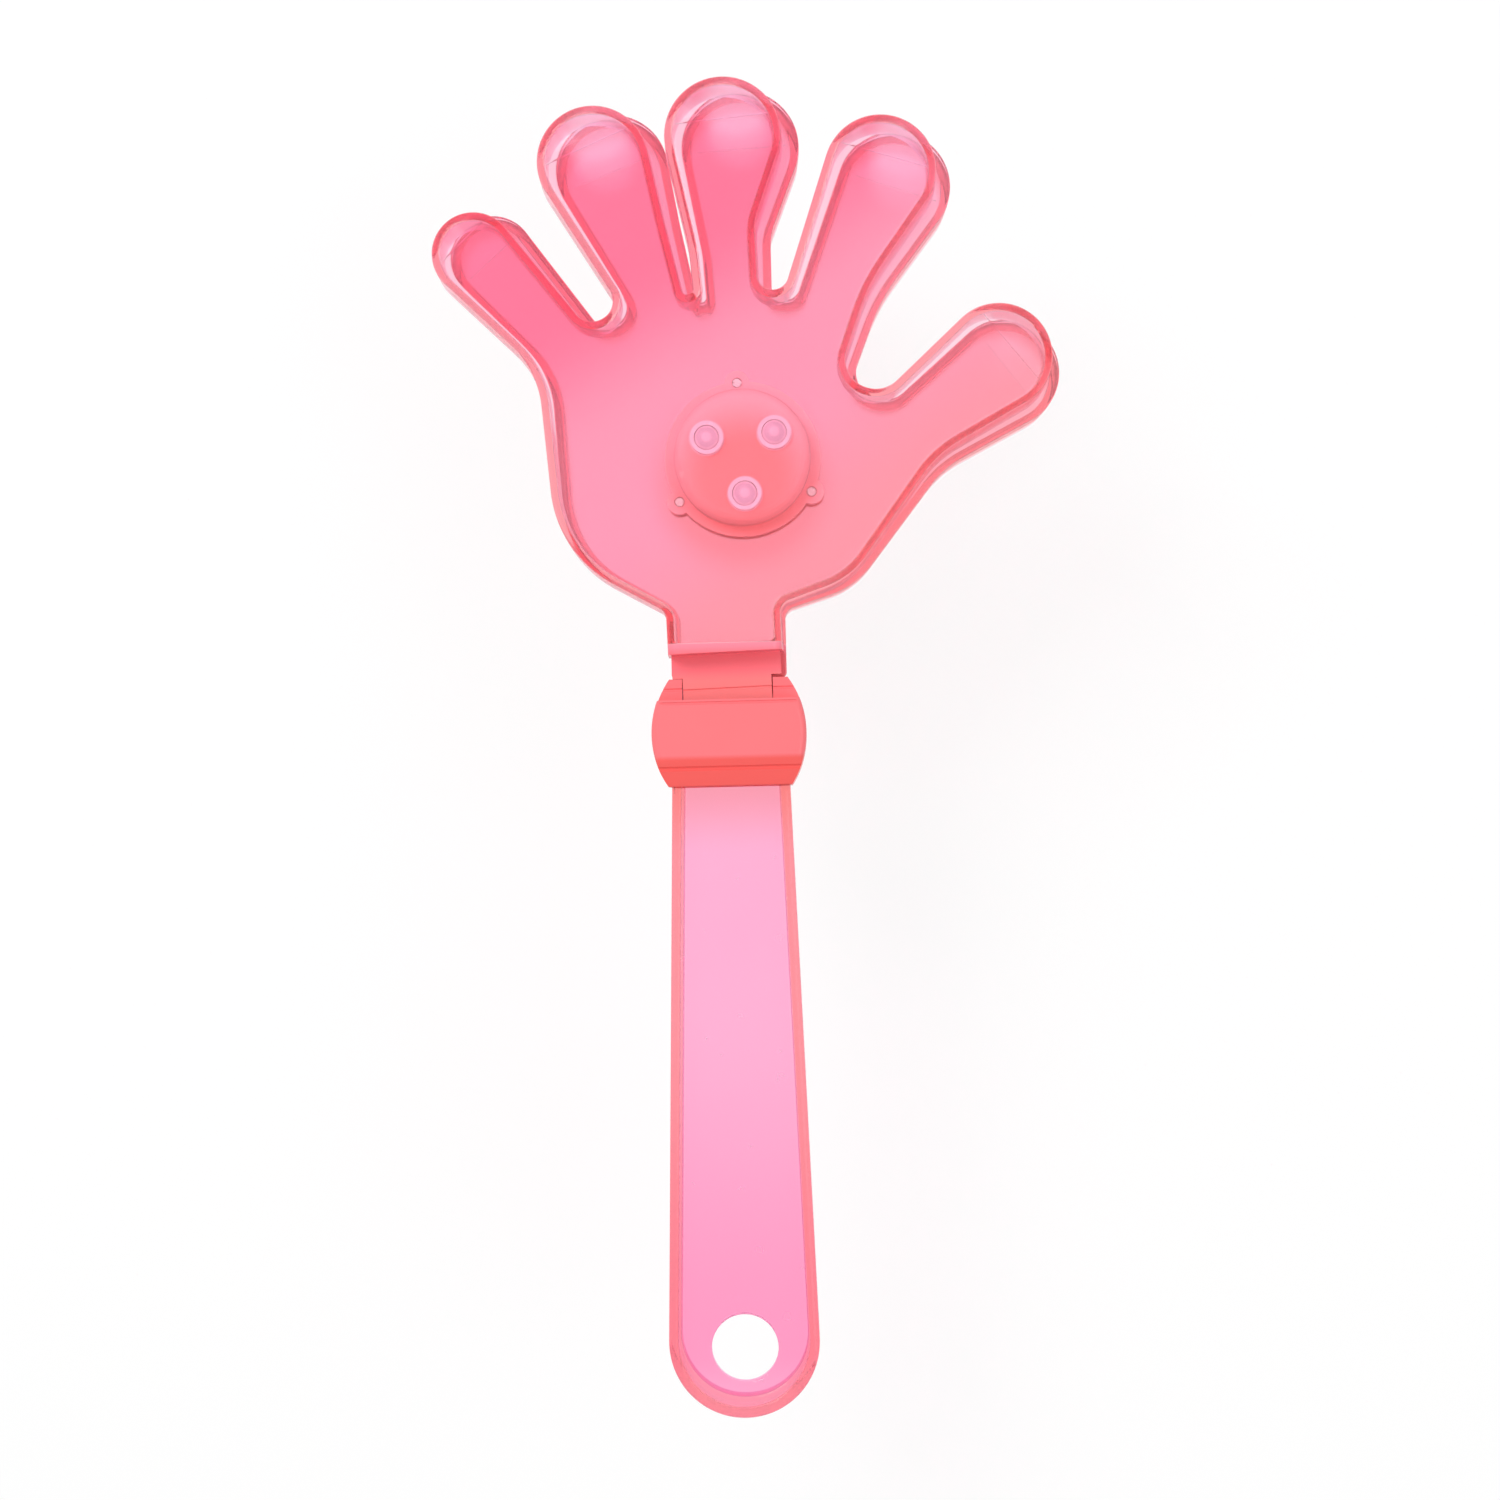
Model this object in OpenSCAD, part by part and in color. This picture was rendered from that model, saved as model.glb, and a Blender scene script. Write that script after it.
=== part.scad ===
// Light-up hand clapper: a fixed centre hand on a flat handle, a loose hollow
// hand hinged on each side of it, and a battery light in the palm.
// The clapper lies on its back hand: X is across, Y runs up to the fingertips
// and Z is the thickness. The origin is under the middle of the palm.

/* [Clapper] */
// Thickness of the closed clapper, back face to front face
thickness = 24; // [24:0.5:28]
// Sideways turn of the loose front hand on its hinge, in degrees
front_lean = 1.6; // [0:0.1:1.8]
// Gap between the rim of a loose hand and the centre hand
clap_gap = 0.3; // [0.2:0.1:0.6]

/* [Hands] */
// Reach of the middle finger above the middle of the palm
hand_reach = 80; // [76:1:88]
// Width of the neck between the palm and the cuff
neck_w = 24.4; // [23.6:0.1:24.8]
// Thickness of the centre hand
plate_t = 2.6; // [2.2:0.1:2.8]
// Wall of a loose hand
hand_wall = 1.5; // [1.2:0.1:1.8]
// Face of a loose hand
hand_face = 1.8; // [1.4:0.1:2]
// Rounding of the outer edge of a loose hand
hand_edge = 2.2; // [1.8:0.1:2.4]

/* [Handle] */
// Distance from the middle of the palm down to the end of the handle
handle_reach = 200; // [170:1:220]
// Width of the handle at its round end
grip_end_w = 31.4; // [28:0.2:34]
// Width of the handle where it enters the cuff
grip_top_w = 24.8; // [24.4:0.1:25.6]
// Depth of the handle over its rims
grip_depth = 12; // [10:0.5:13]
// Thickness of the web between the rims
grip_web = 2.4; // [2:0.1:3]
// Width of the rims along the sides
grip_rim = 2; // [1.6:0.1:2.6]
// Diameter of the hanging hole
hang_d = 14; // [10:0.5:16]
// Distance of the hanging hole's middle from the end of the handle
hang_from_end = 13.4; // [12:0.2:16]

/* [Cuff] */
// Width of the cuff across its bulge
cuff_w = 32.2; // [32:0.2:34]
// Thickness of the cuff's front and back walls
cuff_wall = 2; // [1.6:0.1:2.2]

/* [Hinges] */
// Diameter of the hinge pins
pin_d = 2.4; // [2:0.1:2.6]
// Diameter of the barrel on a loose hand
barrel_d = 5; // [4.8:0.1:5.4]
// Play of a barrel on its pin, across the diameter
pin_play = 0.8; // [0.7:0.1:1]
// Thickness of the tongue between barrel and palm
tongue_t = 2; // [1.8:0.1:2.2]

/* [Light] */
// Place of the light on the palm, across and up
light_at = [4, 0.5]; // [-2:0.5:6]
// Turn of the light in the palm, in degrees
light_turn = 3; // [0:1:10]
// Diameter of the lamps
lamp_d = 5; // [4.8:0.1:5]
// Distance of the lamps from the middle of the light
lamp_ring = 8.2; // [8:0.1:8.4]
// Diameter of a button cell
cell_d = 11.6; // [11:0.1:11.6]
// Height of a button cell
cell_h = 5.4; // [5:0.1:5.4]

/* [Hidden] */

$fn = 64;
// Largest turn between two neighbouring points of an outline, in degrees
arc_step = 9;
// Overlap where pieces of one moulding run into each other, or a cut runs past a face
eps = 0.5;

mid_z = thickness / 2;
plate_top = mid_z + plate_t / 2;
plate_back = mid_z - plate_t / 2;

// Outline of a hand as a chain of circles [across, up, radius], counter-clockwise from
// the wrist: a positive radius is a round end, a negative one a hollow between two ends
drawn_reach = 80;
hand_scale = hand_reach / drawn_reach;
neck_half = neck_w / 2;
neck_fillet = 2.5;
fingers = [
    [16.5, -11.5, 18],   // heel of the thumb
    [61.5, -20.5, -23],  // hollow under the thumb
    [60, 17.5, 11.5],    // thumb
    [34.5, 18.5, -6],    // crook of the thumb
    [71, 13, -42],       // hollow side of the first finger
    [37.5, 58, 12],      // first finger
    [14, 37.5, -3],      // crook between first and middle finger
    [22, 46.5, -11],     // waist of the middle finger
    [5, 67.5, 12.5],     // middle finger
    [-17.5, 43, -14],    // waist of the middle finger
    [-4, 35.5, -1],      // crook between middle and ring finger
    [4.5, 54, -13],      // waist of the ring finger
    [-22.5, 63.5, 12],   // ring finger
    [-24, 34, -4],       // crook between ring and little finger
    [-48.5, 45.5, 9],    // little finger
    [-56, 11.5, -20],    // hollow under the little finger
    [-9.5, -4, 25.5]];   // heel of the hand
fillet_y = -33.5;

// Wrist: levels along Y, all measured from the middle of the palm
cuff_low_y = -68.7;
cuff_band_y = -62.3;
cuff_groove_y = -65;
hinge_y = -56;
cuff_front_y = -50.8;
cuff_flange_y = -47.4;
cuff_high_y = -46.2;
hub_top_y = -47.6;
plate_neck_y = -45.8;
neck_end_y = -41;
pocket_top_y = -66;
grip_end_y = -handle_reach;
grip_end_r = grip_end_w / 2;

// Hinges
hinge_rise = 6.2;
front_hinge_z = mid_z + hinge_rise;
back_hinge_z = mid_z - hinge_rise;
barrel_half = 9.3;
tongue_in = 5;
bore_d = pin_d + pin_play;

// Hub at the top of the handle, inside the cuff
hub_half = 11.9;
cheek_t = 1.9;
cheek_depth = 17.6;
hub_block_y = -70;
cheek_low_y = -62.5;
tang_end_y = -61.8;
hub_web_t = 2;
tang_half = 9.8;
peg_d = 3;
pegs_at = [[-6, -52], [6, -52]];
pin_half = 11.85;

// Cuff: round of its sides, pegs between its halves, and the block that holds the tang down
cuff_mid_y = -57.8;
cuff_side_r = 20;
cuff_pegs = [[-14, cuff_mid_y], [14, cuff_mid_y]];
cuff_peg_d = 2;
cuff_peg_h = 3;
clamp_half = 8;
clamp_y = -61.7;
clamp_len = 2.4;

// Loose hands
hand_depth = mid_z - plate_t / 2 - clap_gap;
hand_draft = 0.3;
edge_spare = 0.6;
neck_corner = hand_edge + hand_draft + 0.5;
plate_corner = 1;
// Point that the fingers spread from, and the line across each tip, from its round end's middle
finger_root = [10, -20];
tip_line = 3.2;
tip_most_r = 15;
tip_face = hand_face - 0.7;

// Light
left_angle = 150;
right_angle = 30;
bottom_angle = 270;
lamp_angles = [left_angle, right_angle, bottom_angle];
screw_angles = [90, 210, 330];
boss_angles = [210, 330];
button_angle = 90;
board_t = 1.2;
board_d = 25.6;
board_back = mid_z - 0.4;
board_top = board_back + board_t;
drum_in_r = 13;
drum_r = 14.4;
plate_hole_r = 13.2;
rim_t = 1.4;
ear_r = 2.6;
ear_ring = 16.2;
flange_r = 16.5;
cap_top = plate_top + 6.4;
cap_t = 1.4;
collar_r = 3.5;
collar_h = 0.9;
lamp_hole_r = lamp_d / 2 + 0.15;
post_r = 1.5;
boss_r = 2.4;
boss_ring = 10.5;
boss_rib = 1.6;
cell_ring = 6.95;
strip_t = 0.4;
door_in = mid_z - 7.1;
door_t = 1.6;
cell_back = door_in + strip_t;
cell_top = cell_back + cell_h;
button_ring = 9.9;
button_r = 2.2;
button_end = 0.7;
button_flange_r = 2.8;
button_clear = 0.15;
finger_hole_r = 5;
finger_dish = 1.2;
switch_w = 4;
switch_h = 2.2;
plunger_r = 1.1;
plunger_out = 1;
plunger_in = 0.3;
screw_r = 1.1;
screw_head_r = 1.7;
screw_head_h = 1.4;
door_screw_r = 0.8;
door_head_r = 1.7;
door_head_h = 0.7;
door_screw_in = 4.2;
lead_r = 0.25;
lead_gap = 1.27;

pink = [1, 0.55, 0.68, 0.85];
pale_pink = [1, 0.7, 0.82, 0.85];
coral = [1, 0.42, 0.47];
clear_white = [0.98, 0.93, 0.97, 0.8];
steel = [0.75, 0.76, 0.78];
brass = [0.85, 0.7, 0.4];

// Direction of travel along the line that touches two circles of an outline
function heading(a, b) =
    atan2(b.y - a.y, b.x - a.x) - asin((b.z - a.z) / norm([b.x - a.x, b.y - a.y]));
function wrap(t) = t - 360 * floor(t / 360);
function turn(r, from, to) = r > 0 ? wrap(to - from) : -wrap(from - to);

// Points of a closed outline round a chain of circles, moved outwards by grow
function belt(chain, grow = 0, step = arc_step) =
    let (n = len(chain))
    [for (i = [0 : n - 1])
        let (c = chain[i],
            from = heading(chain[(i + n - 1) % n], c),
            arc = turn(c.z, from, heading(c, chain[(i + 1) % n])),
            k = max(1, ceil(abs(arc) / step)),
            r = c.z + grow)
        for (j = [0 : k])
            let (t = from + arc * j / k)
            [c.x + r * sin(t), c.y - r * cos(t)]];

function raise(points, z) = [for (p = points) [p.x, p.y, z]];

// Chain of a hand whose neck ends at a given level with a given corner radius
function hand_chain(end_y, corner) = concat(
    [[neck_half - corner, end_y + corner, corner],
        [neck_half + neck_fillet, fillet_y * hand_scale, -neck_fillet]],
    fingers * hand_scale,
    [[-neck_half - neck_fillet, fillet_y * hand_scale, -neck_fillet],
        [-neck_half + corner, end_y + corner, corner]]);

// Closed skin over a row of rings that have the same number of points: a plain row has a
// lid at each end, and a looped row runs back to its first ring
module skin(rings, looped = false) {
    n = len(rings[0]);
    m = len(rings);
    sides = [for (i = [0 : looped ? m - 1 : m - 2], j = [0 : n - 1])
        let (a = i * n + j, b = i * n + (j + 1) % n, down = ((i + 1) % m - i) * n)
        each [[a, b, b + down], [a, b + down, a + down]]];
    lids = [[for (j = [n - 1 : -1 : 0]) j], [for (j = [0 : n - 1]) (m - 1) * n + j]];
    polyhedron([for (ring = rings) each ring], looped ? sides : concat(sides, lids));
}

// A row of rounding angles, from a flat face round to its side wall
function round_over(steps) = [for (i = [steps : -1 : 0]) 90 * i / steps];

module at_light() {
    translate([light_at.x, light_at.y, 0]) rotate(light_turn) children();
}

module around(angle, ring) {
    rotate(angle) translate([ring, 0, 0]) children();
}

// Cylinder along X through the middle of the clapper
module cross_pin(d, half, y, z) {
    translate([-half, y, z]) rotate([0, 90, 0]) cylinder(d = d, h = 2 * half);
}

module mirror_back() {
    translate([0, 0, thickness]) mirror([0, 0, 1]) children();
}

// Chain of a bar that tapers from a round end up to a straight top
function taper_chain(end_y, end_r, top_y, top_half) =
    let (corner = 1.6)
    [[0, end_y, end_r], [top_half - corner, top_y - corner, corner],
        [corner - top_half, top_y - corner, corner]];

// Grip: flat bar with a round end and rounded edges
module grip() {
    edge = 1.2;
    bar = taper_chain(grip_end_y + grip_end_r, grip_end_r, cuff_low_y, grip_top_w / 2);
    front = [for (a = round_over(3))
        raise(belt(bar, -edge * (1 - cos(a))), mid_z + grip_depth / 2 - edge * (1 - sin(a)))];
    back = [for (i = [len(front) - 1 : -1 : 0]) [for (p = front[i]) [p.x, p.y, thickness - p.z]]];
    skin(concat(front, back));
}

// Pockets that leave the rims and the thin web of the grip, and run on under the cuff
module grip_pockets() {
    end_shift = 2.5;
    pocket = taper_chain(grip_end_y + grip_end_r + end_shift, grip_end_r - grip_rim,
        pocket_top_y, grip_top_w / 2 - grip_rim);
    for (z = [mid_z + grip_web / 2, mid_z - grip_web / 2 - grip_depth])
        translate([0, 0, z]) linear_extrude(grip_depth) polygon(belt(pocket));
}

// Hub inside the cuff: block, web with two pegs, and a cheek on each side for the pins
module hub() {
    cheek_len = hub_top_y - cheek_low_y;
    translate([-hub_half, hub_block_y, mid_z - grip_depth / 2])
        cube([2 * hub_half, cheek_low_y + eps - hub_block_y, grip_depth]);
    translate([-hub_half, cheek_low_y, plate_back - hub_web_t])
        cube([2 * hub_half, cheek_len, hub_web_t]);
    for (x = [-hub_half, hub_half - cheek_t])
        translate([x, cheek_low_y, mid_z - cheek_depth / 2]) cube([cheek_t, cheek_len, cheek_depth]);
    for (p = pegs_at)
        translate([p.x, p.y, plate_back - eps]) cylinder(d = peg_d, h = plate_t + eps);
}

module handle() {
    color(pale_pink)
        difference() {
            union() {
                grip();
                hub();
            }
            grip_pockets();
            translate([0, grip_end_y + hang_from_end, 0]) cylinder(d = hang_d, h = thickness);
            for (z = [front_hinge_z, back_hinge_z]) cross_pin(pin_d, hub_half + eps, hinge_y, z);
        }
}

module centre_hand() {
    color(pink)
        difference() {
            translate([0, 0, plate_back]) linear_extrude(plate_t) {
                polygon(belt(hand_chain(plate_neck_y, plate_corner)));
                translate([-tang_half, tang_end_y]) square([2 * tang_half, plate_neck_y + eps - tang_end_y]);
            }
            for (p = pegs_at) translate([p.x, p.y, 0]) cylinder(d = peg_d, h = thickness);
            at_light() {
                cylinder(r = plate_hole_r, h = thickness);
                for (a = screw_angles) around(a, ear_ring) cylinder(r = screw_r, h = thickness);
            }
        }
}

// Ring round a hand's outline, from below its rim to above its face: what it takes away
// leaves the drafted wall and the rounded edge
module edge_ring(chain) {
    run_on = 0.3;
    wall_h = hand_depth - hand_edge;
    low = [hand_draft * eps / wall_h, -eps];
    arc = [for (a = [0 : 30 : 90]) [-hand_draft - hand_edge * (1 - cos(a)), wall_h + hand_edge * sin(a)]];
    profile = [[edge_spare, -eps], low, arc[0], arc[1], arc[2], arc[3] + (arc[3] - arc[2]) * run_on,
        [edge_spare, hand_depth + eps]];
    skin([for (p = profile) raise(belt(chain, p.x), p.y)], looped = true);
}

// Flat areas over the fingertips, each beyond a line across its finger
module fingertips() {
    tips = [for (f = fingers * hand_scale) if (f.z > 0 && f.z < tip_most_r) f];
    for (tip = tips) {
        along = atan2(tip.y - finger_root.y * hand_scale, tip.x - finger_root.x * hand_scale);
        translate([tip.x, tip.y]) rotate(along) translate([tip_line, -tip.z]) square(2 * tip.z);
    }
}

// Hollow hand, open towards the centre hand, thinner over the fingertips, cut straight at the
// end of its neck, with a tongue and barrel there
module loose_hand() {
    chain = hand_chain(neck_end_y - neck_corner, neck_corner);
    hollow = belt(hand_chain(neck_end_y, neck_corner), -hand_wall - hand_draft);
    difference() {
        union() {
            translate([0, 0, thickness - hand_depth]) difference() {
                linear_extrude(hand_depth) difference() {
                    polygon(belt(chain, edge_spare / 2));
                    translate([-neck_w, neck_end_y - neck_w]) square([2 * neck_w, neck_w]);
                }
                edge_ring(chain);
                translate([0, 0, -eps]) linear_extrude(hand_depth - hand_face + eps) polygon(hollow);
                linear_extrude(hand_depth - tip_face) intersection() {
                    polygon(hollow);
                    fingertips();
                }
            }
            translate([-barrel_half, hinge_y, front_hinge_z - tongue_t / 2])
                cube([2 * barrel_half, neck_end_y + tongue_in - hinge_y, tongue_t]);
            cross_pin(barrel_d, barrel_half, hinge_y, front_hinge_z);
        }
        cross_pin(bore_d, barrel_half + eps, hinge_y, front_hinge_z);
    }
}

module front_hand() {
    color(pink)
        translate([0, hinge_y, 0]) rotate(front_lean) translate([0, -hinge_y, 0]) loose_hand();
}

// The back hand has a dished hole for the finger that presses the button
module back_hand() {
    color(pink)
        difference() {
            mirror_back() loose_hand();
            at_light() around(button_angle, button_ring) rotate_extrude()
                polygon([[0, -eps], [finger_hole_r + finger_dish + eps, -eps], [finger_hole_r, finger_dish],
                    [finger_hole_r, hand_face + eps], [0, hand_face + eps]]);
        }
}

// Small circle of the cuff's outline that touches a side's big circle from inside
function cuff_corner(side_x, y, r) =
    let (room = 0.05)
    [side_x + sqrt(pow(cuff_side_r - r, 2) - pow(y - cuff_mid_y, 2)) + room, y, r];

// Half of the cuff, drawn as the front half with its parting face at mid thickness
module cuff_half() {
    corner = 1.6;
    run_past = 1.5;
    side_x = cuff_w / 2 - cuff_side_r;
    edge = 1.5;
    inner_half = hub_half + 0.1;
    end_wall = 1.5;
    low_cavity = 7.6;
    lip = 3;
    ear_drop = 1.5;
    window_half = 10.2;
    groove_r = 0.5;
    right = [cuff_corner(side_x, cuff_low_y - run_past, corner), [side_x, cuff_mid_y, cuff_side_r],
        cuff_corner(side_x, cuff_high_y + run_past, corner)];
    left = [for (i = [2 : -1 : 0]) [-right[i].x, right[i].y, right[i].z]];
    plan = concat(right, left);
    groove_z = thickness - lip * (cuff_band_y - cuff_groove_y) / (cuff_band_y - cuff_low_y);
    difference() {
        intersection() {
            skin(concat([for (a = round_over(3))
                raise(belt(plan, -edge * (1 - cos(a))), thickness - edge * (1 - sin(a)))],
                [raise(belt(plan), mid_z)]));
            rotate([90, 0, 90]) linear_extrude(2 * cuff_w, center = true)
                polygon([[cuff_low_y, mid_z], [cuff_high_y, mid_z], [cuff_high_y, thickness - ear_drop],
                    [cuff_front_y, thickness], [cuff_band_y, thickness], [cuff_low_y, thickness - lip]]);
        }
        translate([-inner_half, cuff_low_y + end_wall, mid_z - low_cavity])
            cube([2 * inner_half, cuff_band_y - cuff_low_y - end_wall, 2 * low_cavity]);
        translate([-inner_half, cuff_band_y - eps, cuff_wall])
            cube([2 * inner_half, cuff_flange_y - cuff_band_y + eps, thickness - 2 * cuff_wall]);
        translate([-inner_half, cuff_low_y - eps, mid_z - grip_depth / 2])
            cube([2 * inner_half, end_wall + 2 * eps, grip_depth]);
        translate([-window_half, cuff_front_y, mid_z])
            cube([2 * window_half, cuff_high_y - cuff_front_y + eps, thickness]);
        cross_pin(2 * groove_r, cuff_w, cuff_groove_y, groove_z);
    }
}

module cuff_peg_pair(h) {
    for (p = cuff_pegs) translate([p.x, p.y, mid_z - eps]) cylinder(d = cuff_peg_d, h = h);
}

// The front half has a block that holds the tang of the centre hand down on its pegs
module cuff_front() {
    color(coral)
        difference() {
            union() {
                cuff_half();
                translate([-clamp_half, clamp_y, plate_top])
                    cube([2 * clamp_half, clamp_len, thickness - cuff_wall + eps - plate_top]);
            }
            cuff_peg_pair(cuff_peg_h + 2 * eps);
        }
}

module cuff_back() {
    color(coral) {
        mirror_back() cuff_half();
        cuff_peg_pair(cuff_peg_h + eps);
    }
}

module front_hinge_pin() {
    color(steel) cross_pin(pin_d, pin_half, hinge_y, front_hinge_z);
}

module back_hinge_pin() {
    color(steel) cross_pin(pin_d, pin_half, hinge_y, back_hinge_z);
}

// Flange with three ears that the module screws go through
module ears() {
    cylinder(r = flange_r, h = rim_t);
    for (a = screw_angles) around(a, ear_ring) cylinder(r = ear_r, h = rim_t);
}

module lamp_cap() {
    round_r = 2.5;
    crown = [for (i = [0 : 6])
        [drum_r - round_r + round_r * cos(15 * i), cap_top - round_r + round_r * sin(15 * i)]];
    color(pink)
        at_light() {
            difference() {
                union() {
                    translate([0, 0, plate_top]) ears();
                    rotate_extrude()
                        polygon(concat([[0, plate_top], [drum_r, plate_top]], crown, [[0, cap_top]]));
                    for (a = lamp_angles) around(a, lamp_ring) translate([0, 0, cap_top - eps])
                        cylinder(r = collar_r, h = collar_h + eps);
                }
                translate([0, 0, plate_top - eps])
                    cylinder(r = drum_in_r, h = cap_top - cap_t + eps - plate_top);
                for (a = lamp_angles) around(a, lamp_ring) cylinder(r = lamp_hole_r, h = thickness);
                for (a = screw_angles) around(a, ear_ring) cylinder(r = screw_r, h = thickness);
            }
            for (a = screw_angles) around(a, boss_ring) translate([0, 0, board_top])
                cylinder(r = post_r, h = cap_top - cap_t + eps - board_top);
        }
}

module battery_housing() {
    color(pink)
        at_light() {
            difference() {
                union() {
                    translate([0, 0, plate_back - rim_t]) ears();
                    translate([0, 0, door_in]) cylinder(r = drum_r, h = plate_back - door_in);
                }
                cylinder(r = drum_in_r, h = thickness);
                for (a = screw_angles) around(a, ear_ring) cylinder(r = screw_r, h = thickness);
            }
            for (a = boss_angles) difference() {
                union() {
                    around(a, boss_ring) translate([0, 0, door_in])
                        cylinder(r = boss_r, h = board_back - door_in);
                    around(a, boss_ring) translate([0, -boss_rib / 2, door_in])
                        cube([drum_in_r + eps - boss_ring, boss_rib, plate_back - door_in]);
                }
                around(a, boss_ring) translate([0, 0, door_in - eps])
                    cylinder(r = door_screw_r, h = door_screw_in + eps);
            }
        }
}

module battery_door() {
    color(pink)
        at_light()
            difference() {
                translate([0, 0, door_in - door_t]) cylinder(r = drum_r, h = door_t);
                around(button_angle, button_ring) cylinder(r = button_r + button_clear, h = thickness);
                for (a = boss_angles) around(a, boss_ring) cylinder(r = door_screw_r, h = thickness);
            }
}

// Places of the two leads of a lamp
module lead_pair() {
    for (x = [-lead_gap, lead_gap]) translate([x, 0, 0]) children();
}

module circuit_board() {
    color("darkgreen")
        at_light() translate([0, 0, board_back])
            difference() {
                cylinder(d = board_d, h = board_t);
                for (a = lamp_angles) around(a, lamp_ring) lead_pair()
                    translate([0, 0, -eps]) cylinder(r = lead_r, h = board_t + 2 * eps);
            }
}

module lamp(angle) {
    flange_h = 1;
    barrel_h = 6.1;
    color(clear_white)
        at_light() around(angle, lamp_ring) translate([0, 0, board_top]) {
            cylinder(d = lamp_d + 0.6, h = flange_h);
            cylinder(d = lamp_d, h = barrel_h);
            translate([0, 0, barrel_h]) sphere(d = lamp_d);
            lead_pair() translate([0, 0, -board_t]) cylinder(r = lead_r, h = board_t + eps);
        }
}

module flasher_chip() {
    ball_r = 5;
    rise = 1;
    color([0.12, 0.12, 0.13])
        at_light() intersection() {
            translate([0, 0, board_top + rise - ball_r]) sphere(r = ball_r);
            translate([0, 0, board_top]) cylinder(r = ball_r, h = ball_r);
        }
}

module switch_body() {
    room = 0.1;
    color([0.15, 0.15, 0.16])
        at_light() around(button_angle, button_ring) translate([0, 0, board_back - switch_h])
            difference() {
                translate([-switch_w / 2, -switch_w / 2, 0]) cube([switch_w, switch_w, switch_h]);
                translate([0, 0, -eps]) cylinder(r = plunger_r + room, h = plunger_in + plunger_out + eps);
            }
}

module switch_plunger() {
    color("white")
        at_light() around(button_angle, button_ring) translate([0, 0, board_back - switch_h - plunger_out])
            cylinder(r = plunger_r, h = plunger_out + plunger_in);
}

// The flange behind the door keeps the button from falling out
module push_button() {
    stem_r = 1.4;
    flange_gap = 0.2;
    flange_t = 0.8;
    plunger_end = board_back - switch_h - plunger_out;
    color(pink)
        at_light() around(button_angle, button_ring) {
            translate([0, 0, button_end]) cylinder(r = button_r, h = door_in + flange_gap + eps - button_end);
            translate([0, 0, door_in + flange_gap]) cylinder(r = button_flange_r, h = flange_t);
            translate([0, 0, door_in]) cylinder(r = stem_r, h = plunger_end - door_in);
        }
}

module cell(angle) {
    can_h = cell_h - 1;
    cap_inset = 0.9;
    color(steel)
        at_light() around(angle, cell_ring) translate([0, 0, cell_back]) {
            cylinder(d = cell_d, h = can_h);
            cylinder(d = cell_d - 2 * cap_inset, h = cell_h);
        }
}

// Bent leaf under the board for each cell, seen from its edge
module contact_springs() {
    rise = board_back - cell_top;
    leaf_t = 0.3;
    leaf_w = 2.4;
    reach = 2.2;
    side = [[-reach, rise], [-reach, rise - leaf_t], [0, 0], [reach, 0], [reach, leaf_t], [0.2, leaf_t],
        [0.2 - reach, rise]];
    color(brass)
        at_light() for (a = lamp_angles) around(a, cell_ring) translate([0, leaf_w / 2, cell_top])
            rotate([90, 0, 0]) linear_extrude(leaf_w) polygon(side);
}

// Strips on the door: one joins the two upper cells, one serves the bottom cell
module link_strips() {
    strip_w = 4;
    half_gap = cell_ring * cos(right_angle);
    color(brass)
        at_light() translate([0, 0, door_in]) {
            translate([-half_gap, cell_ring / 2 - strip_w / 2, 0]) cube([2 * half_gap, strip_w, strip_t]);
            around(bottom_angle, cell_ring) cylinder(d = strip_w, h = strip_t);
        }
}

module module_screws() {
    reach = plate_top + rim_t - (plate_back - rim_t);
    color(steel)
        at_light() for (a = screw_angles) around(a, ear_ring) translate([0, 0, plate_back - rim_t]) {
            translate([0, 0, -screw_head_h]) cylinder(r = screw_head_r, h = screw_head_h);
            translate([0, 0, -eps]) cylinder(r = screw_r, h = reach + eps);
        }
}

module door_screws() {
    color(steel)
        at_light() for (a = boss_angles) around(a, boss_ring) translate([0, 0, door_in - door_t]) {
            translate([0, 0, -door_head_h]) cylinder(r = door_head_r, h = door_head_h);
            translate([0, 0, -eps]) cylinder(r = door_screw_r, h = door_t + door_screw_in + eps);
        }
}

handle();
centre_hand();
front_hand();
back_hand();
cuff_front();
cuff_back();
front_hinge_pin();
back_hinge_pin();
lamp_cap();
battery_housing();
battery_door();
circuit_board();
lamp(left_angle);  // lamp_left
lamp(right_angle);  // lamp_right
lamp(bottom_angle);  // lamp_bottom
flasher_chip();
switch_body();
switch_plunger();
push_button();
cell(left_angle);  // cell_left
cell(right_angle);  // cell_right
cell(bottom_angle);  // cell_bottom
contact_springs();
link_strips();
module_screws();
door_screws();
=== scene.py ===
"""Light-up hand clapper: fine shapes, finishes, floor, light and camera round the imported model."""
import math

import bmesh
import bpy
from mathutils import Matrix, Vector


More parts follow.
